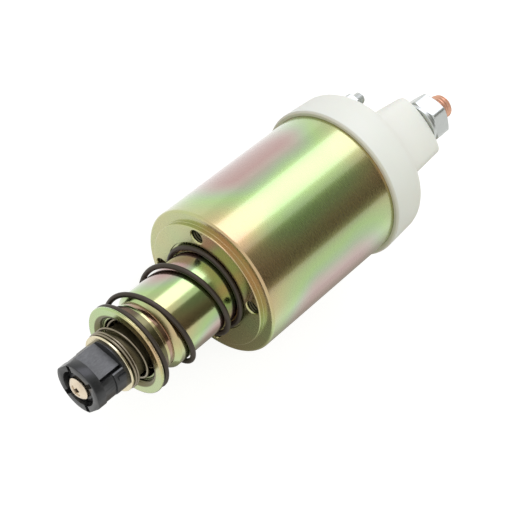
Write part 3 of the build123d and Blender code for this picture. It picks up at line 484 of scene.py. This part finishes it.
# Lost-motion spring.
# Fine wire wound close at its front end and open behind; it lets the plunger return while the fork stays in.
LOST_SPRING = dict(
    x_rear=8.5, x_front=48.1, wire=0.5, mean=11.2, phase=164.0, rear_turns=0.75, open_turns=7.0, front_turns=1.6,
    ease=0.1, pitch=1.1, sides=10)
drawn_wire = toned_metal(
    "drawn_spring_wire", (0.20, 0.17, 0.12), (0.34, 0.30, 0.22), tone=(200.0, 2.0), roughness=(0.24, 0.1),
    bump=(2500.0, 2e-6))
lost_coils = piece("lost_motion_coils", "plunger", "spring_steel", drawn_wire, coil(**LOST_SPRING))
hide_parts("lost_motion_spring")
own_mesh(lost_coils)

# Fork end.
# Moulded in black glass-filled nylon: a head, a skirt and two flats between them that the pinion fork straddles.
# Its edges carry the mould's small radius, and the flats are rough where the fork wears them.
SEAT_ANGLE, SEAT_HEIGHT, SEAT_REAR, SEAT_FRONT = 121.0, 0.007, 0.05045, 0.06025
fork_nylon, shader, flow, where, xyz = new_finish("fork_nylon")
x, y, z = xyz
seat_turn = np.radians(SEAT_ANGLE)
from_middle = (y * float(np.cos(seat_turn)) + z * float(np.sin(seat_turn))).maths("ABSOLUTE")
on_seat = (1.0 - (from_middle - SEAT_HEIGHT).maths("ABSOLUTE").step(0.00004, 0.00012)) * (
    x.between(SEAT_REAR, SEAT_FRONT, 0.00015))
fibre = flow.noise(where, 1400.0, 3.0, 0.6)
scuff = flow.noise(stretched(flow, xyz, 0.5, 1.0), 1300.0, 4.0, 0.65)
mould = fibre.mixed((0.009, 0.010, 0.010), (0.030, 0.031, 0.032))
worn = scuff.mixed((0.045, 0.048, 0.050), (0.21, 0.215, 0.215))
set_finish(
    flow, shader, Base_Color=on_seat.mixed(mould, worn), Roughness=on_seat * 0.10 + 0.26 + fibre * 0.08,
    height=fibre * 9e-6 + on_seat * scuff * 4.5e-5)


def softened(node, name, body, material, width, angle=30.0, segments=2):
    """A copy of a CAD node, merged, with every edge sharper than the angle rounded by a bevel of the width in mm."""
    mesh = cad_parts[node].data.copy()
    mesh.name = name
    build = bmesh.new()
    build.from_mesh(mesh)
    bmesh.ops.remove_doubles(build, verts=build.verts, dist=1e-6)
    bmesh.ops.dissolve_limit(
        build, angle_limit=np.radians(1.0), verts=build.verts, edges=build.edges, use_dissolve_boundaries=False)
    build.to_mesh(mesh)
    build.free()
    mesh.materials.clear()
    mesh.materials.append(material)
    mesh.polygons.foreach_set("use_smooth", np.ones(len(mesh.polygons), bool))
    made = bpy.data.objects.new(name, mesh)
    bpy.context.scene.collection.objects.link(made)
    bevel = made.modifiers.new("edges", "BEVEL")
    bevel.width, bevel.segments, bevel.limit_method = width / 1000, segments, "ANGLE"
    bevel.angle_limit, bevel.harden_normals, bevel.use_clamp_overlap = np.radians(angle), True, True
    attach(made, body)
    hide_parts(node)


softened("fork_end", "moulded_fork_end", "fork_end", fork_nylon, 0.18)

# End screw.
# A pan-head screw with a cross recess, zinc plated to a pale gold; it clamps the fork end on the rod.
HEAD = dict(x_seat=62.4, radius=4.45, height=3.1, brim=0.45, arm=2.2, arm_width=0.7, depth=1.9)
SHANK_RADIUS, SHANK_END = 2.2, 53.4
RECESS_TOP, RECESS_RADIUS = (0.0641, 0.0649), (0.0024, 0.0028)
pale_gold, shader, flow, where, (x, y, z) = new_finish("pale_gold_zinc")
blush = flow.noise(where, 420.0, 2.0)
# Painted shade: inside the cross recess the plating is coloured dark brown.
recess_shade = (1.0 - x.step(*RECESS_TOP)) * (1.0 - (y * y + z * z).maths("SQRT").step(*RECESS_RADIUS))
set_finish(
    flow, shader, Metallic=1.0,
    Base_Color=recess_shade.mixed(blush.mixed((0.62, 0.50, 0.36), (0.80, 0.72, 0.58)), (0.09, 0.065, 0.04)),
    Roughness=blush * 0.1 + 0.2, height=flow.noise(where, 2000.0) * 3e-6)


def recessed_head(shank, shank_end, x_seat, radius, height, brim, arm, arm_width, depth):
    """Domed head: height falls off as 1 - (r / radius)^2.6 above a brim, less a cross-shaped pit; then its rim
    and shank."""
    r = np.linspace(0, radius * 0.985, 46)[:, None]
    a = np.radians(np.arange(0.0, 360.0, 3.0))[None, :]
    u, v = np.abs(r * np.cos(a)), np.abs(r * np.sin(a))
    cross = np.maximum(
        np.clip((arm - u) / 0.35, 0, 1) * np.clip((arm_width - v) / 0.3 + 0.5, 0, 1),
        np.clip((arm - v) / 0.35, 0, 1) * np.clip((arm_width - u) / 0.3 + 0.5, 0, 1))
    rise = height * (brim + (1 - brim) * (1 - (r / radius) ** 2.6))
    x = x_seat + rise - depth * cross * (1 - 0.35 * r / arm)
    dome = np.stack([x + 0 * a, r * np.cos(a), r * np.sin(a)], -1) / 1000
    rim = np.array([
        (x_seat + height * brim, radius * 0.985), (x_seat + height * 0.36, radius), (x_seat + 0.15, radius),
        (x_seat, radius - 0.15), (x_seat, shank), (shank_end, shank), (shank_end, 0.0)])
    return (dome, False, True), (turned(rim, np.degrees(a[0])), False, True)


screw_head = piece(
    "fork_end_screw", "fork_end", "pale_gold_zinc", pale_gold, *recessed_head(SHANK_RADIUS, SHANK_END, **HEAD))
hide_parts("end_screw")

# Moving contact.
# A copper disc on its insulated push rod, with a pressure spring in front and a conical return spring behind.
# The cap closes it in.
PRESSURE_SPRING = dict(
    x_rear=-75.35, x_front=-72.25, wire=0.45, mean=3.6, phase=0.0, rear_turns=0.5, open_turns=2.0, front_turns=0.5,
    ease=0.3, per_turn=40, sides=8)
CONE_SPRING = dict(
    x_rear=-85.5, x_front=-82.0, wire=0.3, mean=8.0, last=3.6, phase=0.0, rear_turns=0.2, open_turns=3.1,
    front_turns=0.2, ease=0.1, per_turn=40, sides=8)
dress("contact_bridge", toned_metal(
    "contact_copper", (0.70, 0.33, 0.18), (0.80, 0.46, 0.30), tone=(200.0, 3.0), roughness=(0.25, 0.15),
    bump=(1500.0, 4e-6)))
laminate, shader, flow, _, xyz = new_finish("brown_laminate")
layer = flow.noise(stretched(flow, xyz, 3000.0, 60.0), 1.0, 2.0)
set_finish(
    flow, shader, Base_Color=layer.mixed((0.16, 0.08, 0.04), (0.30, 0.17, 0.09)), Roughness=0.55,
    height=layer * 1e-5)
for node in ("bridge_insulator", "insulating_washer"):
    dress(node, laminate)
pressure_coils = piece(
    "contact_pressure_coils", "push_rod", "spring_steel", blued_steel, coil(**PRESSURE_SPRING))
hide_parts("contact_spring")
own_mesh(pressure_coils)
cone_coils = piece(
    "contact_return_coils", "solenoid_body", "spring_steel", blued_steel, coil(**CONE_SPRING))
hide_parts("contact_return_spring")
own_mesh(cone_coils)

# Terminal cap.
# Moulded in cream nylon over the rear of the can, with a drafted side, a rounded rear edge and one block for
# each main stud. Its skirt ends in a small bevel round the steel.
CAP_REAR, CAP_INSIDE = -89.2, -85.8
CAP_PROFILE = [
    (-71.7, 30.53, 0.15), (-71.7, 31.75, 0.3), (-72.5, 32.5, 0.5), (CAP_REAR, 31.46, 3.0), (CAP_REAR, 1e-4, 1e-5),
    (CAP_INSIDE, 1e-4, 1e-5), (CAP_INSIDE, 25.5, 1.0), (-70.8, 25.5, 0.2), (-70.8, 27.97, 0.2),
    (-76.2, 27.97, 0.2), (-76.2, 30.53, 0.2),
]
BOSS_RADIUS, BOSS_SIDE, BOSS_INNER, BOSS_CORNER = 31.66, 13.9, 9.5, 4.5
BOSS_END, BOSS_SLOPE, BOSS_EDGE = -104.0, 0.0594, 0.9
COIL_CIRCLE, COIL_ANGLE, COIL_SEAT = 21.8, np.radians(161.7), -94.2
COIL_AXIS = (COIL_CIRCLE * float(np.cos(COIL_ANGLE)), COIL_CIRCLE * float(np.sin(COIL_ANGLE)))
cream, shader, flow, where, (x, _, _) = new_finish("cream_nylon")
mottle = flow.noise(where, 60.0, 3.0)
at_skirt = x.step(-0.0729, -0.0719)
set_finish(
    flow, shader,
    Base_Color=(at_skirt * 0.55).mixed(mottle.mixed((0.86, 0.86, 0.755), (0.91, 0.91, 0.815)), (0.60, 0.52, 0.36)),
    Roughness=mottle * 0.1 + 0.42, Subsurface_Weight=0.06, height=flow.noise(where, 1300.0, 2.0) * 8e-6)


def boss(sign, samples=480, walls=12):
    """Drafted block: an outline of a circular outer wall, two sides and an inner wall, softened at its corners by
    a running mean, drawn in along -X, with its last edge rolled over a quarter circle."""
    half_turn = np.arcsin(BOSS_SIDE / BOSS_RADIUS)
    a = np.linspace(-half_turn, half_turn, 33)
    closed = np.vstack([
        np.stack([BOSS_RADIUS * np.sin(a), BOSS_RADIUS * np.cos(a)], 1),
        [(BOSS_SIDE, BOSS_INNER), (-BOSS_SIDE, BOSS_INNER)],
        [(BOSS_RADIUS * np.sin(a[0]), BOSS_RADIUS * np.cos(a[0]))]])
    length = np.concatenate([[0], np.cumsum(np.linalg.norm(np.diff(closed, axis=0), axis=1))])
    s = np.linspace(0, length[-1], samples + 1)[:-1]
    outline = np.stack([np.interp(s, length, closed[:, k]) for k in range(2)], 1)
    width = int(round(BOSS_CORNER * 1.35 / (length[-1] / samples)))
    kernel = np.hanning(2 * width + 1)
    kernel /= kernel.sum()
    wrapped = np.vstack([outline[-width:], outline, outline[:width]])
    soft = np.stack([np.convolve(wrapped[:, k], kernel, "valid") for k in range(2)], 1)
    tangent = np.roll(soft, -1, 0) - np.roll(soft, 1, 0)
    inward = np.stack([tangent[:, 1], -tangent[:, 0]], 1) / np.linalg.norm(tangent, axis=1, keepdims=True)
    roll = np.radians(np.linspace(0, 90, 9))[1:]
    stations = np.concatenate([
        np.linspace(CAP_INSIDE, BOSS_END + BOSS_EDGE, walls), BOSS_END + BOSS_EDGE * (1 - np.sin(roll))])
    drawn = (CAP_INSIDE - stations) * BOSS_SLOPE
    drawn[walls:] += BOSS_EDGE * (1 - np.cos(roll))
    sides = soft + inward * drawn[:, None, None]
    middle = sides[-1].mean(0)
    shares = np.array([0.97, 0.6, 0.3, 0.0])
    grid = np.concatenate([sides, middle + (sides[-1] - middle) * shares[:, None, None]])
    x = np.concatenate([stations, np.full(len(shares), BOSS_END)])[:, None, None] + 0 * grid[..., :1]
    return np.concatenate([x, grid[..., :1], sign * grid[..., 1:]], -1) / 1000, False, True


def post(x_front, x_rear, radius, fillets, centre, angles):
    """Round bar of one radius from x_front back to x_rear, with an arc of its own fillet at each edge."""
    path = [(x_front, 0.0, 0.0), (x_front, radius, fillets[0]), (x_rear, radius, fillets[1]), (x_rear, 0.0, 0.0)]
    return turned(rounded(path, closed=False), angles, centre), False, True


cap = piece(
    "moulded_cap", "solenoid_body", "cream_nylon", cream, lathed(CAP_PROFILE, steps=10), boss(1), boss(-1),
    post(-88.0, COIL_SEAT, 5.2, (0.1, 0.35), COIL_AXIS, WHOLE_TURN[::2]))
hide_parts("terminal_cap")

# Cap seal.
# A flat ring cut from rubber sheet, which the cap screws squeeze between the core and the cap.
seal_rubber, shader, flow, where, _ = new_finish("seal_rubber")
set_finish(
    flow, shader, Base_Color=flow.noise(where, 400.0).mixed((0.02, 0.02, 0.02), (0.04, 0.04, 0.04)), Roughness=0.7,
    height=flow.noise(where, 900.0) * 1e-5)
dress("cap_seal", seal_rubber)

# Main terminals.
# Copper studs with rolled threads, each with a plain washer and a hexagon nut in bright zinc.
STUD_CIRCLE, STUD_END, NUT_SEAT = 23.1, -122.0, -105.6
WASHER_PROFILE = [(BOSS_END, 5.25, 0.1), (BOSS_END, 9.0, 0.25), (NUT_SEAT, 9.0, 0.3), (NUT_SEAT, 5.25, 0.1)]
bright_zinc = toned_metal(
    "bright_zinc", (0.52, 0.54, 0.52), (0.64, 0.665, 0.64), tone=(500.0, 3.0, 0.6), roughness=(0.27, 0.12),
    bump=(1600.0, 3e-6))
stud_copper = toned_metal(
    "stud_copper", (0.58, 0.29, 0.18), (0.78, 0.48, 0.35), tone=(260.0, 3.0), roughness=(0.24, 0.15),
    bump=(1500.0, 4e-6))


def threaded_bar(x_start, x_end, radius, pitch, depth, chamfer, centre, columns=72, rows_per_pitch=12):
    """Bar behind x_start whose radius falls by depth once per pitch along a helix and by the chamfer at its end."""
    rows = int((x_start - x_end) / pitch * rows_per_pitch)
    x = np.linspace(x_start, x_end, rows)[:, None]
    a = 2 * np.pi * np.arange(columns)[None, :] / columns
    wave = np.abs(((x / pitch + a / (2 * np.pi)) % 1.0) - 0.5) * 2
    r = radius - depth * np.clip(wave * 1.25 - 0.1, 0, 1)
    r = np.minimum(r, radius - chamfer + (x - x_end))
    grid = np.stack([x + 0 * a, centre[0] + r * np.cos(a), centre[1] + r * np.sin(a)], -1)
    middle = grid * [1, 0, 0] + [0.0, *centre]
    end = middle[-1:] + (grid[-1:] - middle[-1:]) * np.array([0.9, 0.4, 0.0])[:, None, None]
    return np.concatenate([middle[:1], grid, end]) / 1000, False, True


def hex_nut(x_seat, height, across_flats, bore, centre, steps=14):
    """Nut behind x_seat: flat / cos(a) about each flat gives its outline, and the 30 degree cone that cuts both
    ends meets it at (outline - flat) tan 30 from each face, so that line is a row of its own."""
    lean = np.linspace(-30, 30, steps + 1)[:-1]
    bearing = np.radians((60 * np.arange(6)[:, None] + lean).ravel())
    flat, point = across_flats / 2, across_flats / np.sqrt(3)
    outline = np.minimum(np.tile(flat / np.cos(np.radians(lean)), 6), point * 0.985)
    cut = (outline - flat) * np.tan(np.radians(30))
    rim, x_end = flat - 0.25, x_seat - height
    near = rim + 0.9 * (outline - rim)
    rows = [
        (x_end, bore), (x_end + 0.25, bore - 0.2), (x_seat - 0.25, bore - 0.2), (x_seat, bore),
        (x_seat, rim - 0.4), (x_seat, rim), (x_seat - 0.04 - 0.9 * cut, near), (x_seat - 0.06 - cut, outline),
        (x_seat - 0.3 - cut, outline), (x_end + 0.3 + cut, outline), (x_end + 0.06 + cut, outline),
        (x_end + 0.04 + 0.9 * cut, near), (x_end, rim), (x_end, rim - 0.4)]
    x, r = (np.stack([row[k] + 0 * bearing for row in rows]) for k in range(2))
    grid = np.stack([x, centre[0] + r * np.cos(bearing), centre[1] + r * np.sin(bearing)], -1)
    return grid / 1000, True, True


for terminal, side in (("battery", 1), ("motor", -1)):
    axis = (0.0, side * STUD_CIRCLE)
    stud = piece(
        f"{terminal}_threaded_stud", "solenoid_body", "copper", stud_copper,
        threaded_bar(CAP_INSIDE, STUD_END, radius=5.0, pitch=1.5, depth=0.8, chamfer=1.2, centre=axis),
        post(-81.8, CAP_INSIDE, 7.0, (0.3, 0.3), axis, WHOLE_TURN))
    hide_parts(f"{terminal}_stud")
    washer = piece(
        f"{terminal}_plain_washer", "solenoid_body", "bright_zinc", bright_zinc, lathed(WASHER_PROFILE, axis))
    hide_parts(f"{terminal}_washer")
    nut = piece(
        f"{terminal}_hex_nut", "solenoid_body", "bright_zinc", bright_zinc,
        hex_nut(NUT_SEAT, height=8.0, across_flats=17.0, bore=5.0, centre=axis))
    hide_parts(f"{terminal}_nut")

# Coil terminal.
# A small plated stud moulded into the cap, held by a nut, for the wire from the ignition switch.
small_stud = piece(
    "coil_threaded_stud", "solenoid_body", "bright_zinc", bright_zinc,
    threaded_bar(
        CAP_INSIDE, -103.0, radius=2.5, pitch=0.8, depth=0.45, chamfer=0.6, centre=COIL_AXIS, columns=48,
        rows_per_pitch=10),
    post(-83.8, CAP_INSIDE, 4.2, (0.2, 0.2), COIL_AXIS, WHOLE_TURN[::2]))
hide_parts("coil_stud")
small_nut = piece(
    "coil_hex_nut", "solenoid_body", "bright_zinc", bright_zinc,
    hex_nut(COIL_SEAT, height=4.0, across_flats=8.0, bore=2.5, centre=COIL_AXIS, steps=10))
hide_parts("coil_nut")

# Cap screws.
# Two slotted pan-head screws in bright zinc hold the cap to the core.
softened("cap_screws", "cap_pan_screws", "solenoid_body", bright_zinc, 0.12)

# Studio.
# A white table in a white room, one softbox overhead, and two brown cards that only the metal mirrors: one
# overhead as its dark band, and one under the part as its shadow on the table.
FLOOR_Z, MAT_Z = -0.0326, -0.0324
CARD_RADIUS, CARD_ARC = 1.2, np.radians(np.linspace(37.0, 99.0, 13))
CARD_DARK, CARD_PALE = (0.09, 0.083, 0.062), (0.205, 0.205, 0.165)
MAT_COLOURS = [
    (0.10, (0.17, 0.155, 0.125)), (0.33, (0.47, 0.43, 0.37)), (0.50, (0.84, 0.81, 0.76)), (0.72, (1.0, 1.0, 1.0)),
]


def backdrop_rays(flow):
    """1 for a ray from the camera, a mirror or glass, and 0 for one that only carries light."""
    camera_ray, glossy, through = (
        flow.node("ShaderNodeLightPath", output=f"Is {kind} Ray") for kind in ("Camera", "Glossy", "Transmission"))
    return (camera_ray + glossy + through).maths("MINIMUM", 1.0)


def sheet(x, y, z):
    """Open grid (rows, columns, 3) in metres: row i, column j is (x_i, y_j, z_j)."""
    return np.stack(np.broadcast_arrays(np.array(x)[:, None], np.array(y), z), -1), False, False


floor_white, shader, flow, _, _ = new_finish("floor_white")
set_finish(
    flow, shader, Base_Color=(0.40, 0.40, 0.38), Roughness=0.6, Specular_IOR_Level=0.0, Emission_Strength=1.0,
    Emission_Color=backdrop_rays(flow).mixed((0.0, 0.0, 0.0), (0.78, 0.78, 0.78)))
floor = joined("floor", floor_white, sheet((-4.0, 4.0), (-4.0, 4.0), FLOOR_Z))

for name, card_grid in (
        ("dark_card", sheet((-1.5, -0.15), CARD_RADIUS * np.cos(CARD_ARC), CARD_RADIUS * np.sin(CARD_ARC))),
        ("dark_mat", sheet((-0.20, 0.045), (-0.0135, 0.15), MAT_Z))):
    brown, shader, flow, _, (_, y, z) = new_finish(name + "_brown")
    if name == "dark_card":
        bearing = z.maths("ARCTAN2", y) * float(180 / np.pi)
        glow = bearing.step(46.0, 84.0).mixed(CARD_DARK, CARD_PALE)
    else:
        glow = (y * 5.0).ramp(*MAT_COLOURS)
    set_finish(
        flow, shader, Base_Color=(0.0, 0.0, 0.0), Roughness=1.0, Specular_IOR_Level=0.0, Emission_Strength=1.0,
        Emission_Color=glow)
    card = joined(name, brown, card_grid)
    card.visible_camera = card.visible_diffuse = card.visible_shadow = card.visible_transmission = False

world = bpy.data.worlds.new("studio")
world.use_nodes = True
bpy.context.scene.world = world
room = Flow(world.node_tree)
background = world.node_tree.nodes["Background"]
room.feed(background.inputs["Color"], backdrop_rays(room).mixed((0.72, 0.72, 0.70), (1.0, 1.0, 1.0)))
background.inputs["Strength"].default_value = 1.0

# Softbox.
# One wide lamp above the can on its -Y side, aimed near its middle. The plating mirrors it as the highlight.
LAMP_PLACE, LAMP_AIM = np.array([-0.30, -0.62, 0.62]), np.array([-0.03, 0.0, 0.0])
softbox = bpy.data.lights.new("overhead_softbox", "AREA")
softbox.color = (1.0, 0.995, 1.20)
softbox.shape, softbox.size, softbox.size_y, softbox.energy = "RECTANGLE", 1.1, 0.56, 3.05
back = (LAMP_PLACE - LAMP_AIM) / np.linalg.norm(LAMP_PLACE - LAMP_AIM)
side = np.cross((1.0, 0.0, 0.0), back)
side /= np.linalg.norm(side)
stand = np.eye(4)
stand[:3] = np.stack([np.cross(side, back), side, back, LAMP_PLACE], 1)
lamp = bpy.data.objects.new("overhead_softbox", softbox)
lamp.matrix_world = Matrix(stand.tolist())
bpy.context.scene.collection.objects.link(lamp)

# Camera.
# A long lens above the plunger's end, which looks back along the part and down. Its place and its lens were
# fitted to the ellipses and silhouette lines of the photograph.
lens = bpy.data.cameras.new("camera")
lens.lens, lens.sensor_width, lens.clip_start, lens.clip_end = 100.441, 36.0, 0.01, 20.0
camera = bpy.data.objects.new("camera", lens)
camera.matrix_world = Matrix((
    (-0.658661, -0.533756, 0.530349, 0.255487),
    (0.570425, -0.813861, -0.110657, -0.056000),
    (0.490695, 0.229638, 0.840527, 0.444088),
    (0.0, 0.0, 0.0, 1.0)))
bpy.context.scene.collection.objects.link(camera)
bpy.context.scene.camera = camera
bpy.context.scene.view_settings.view_transform = "Standard"
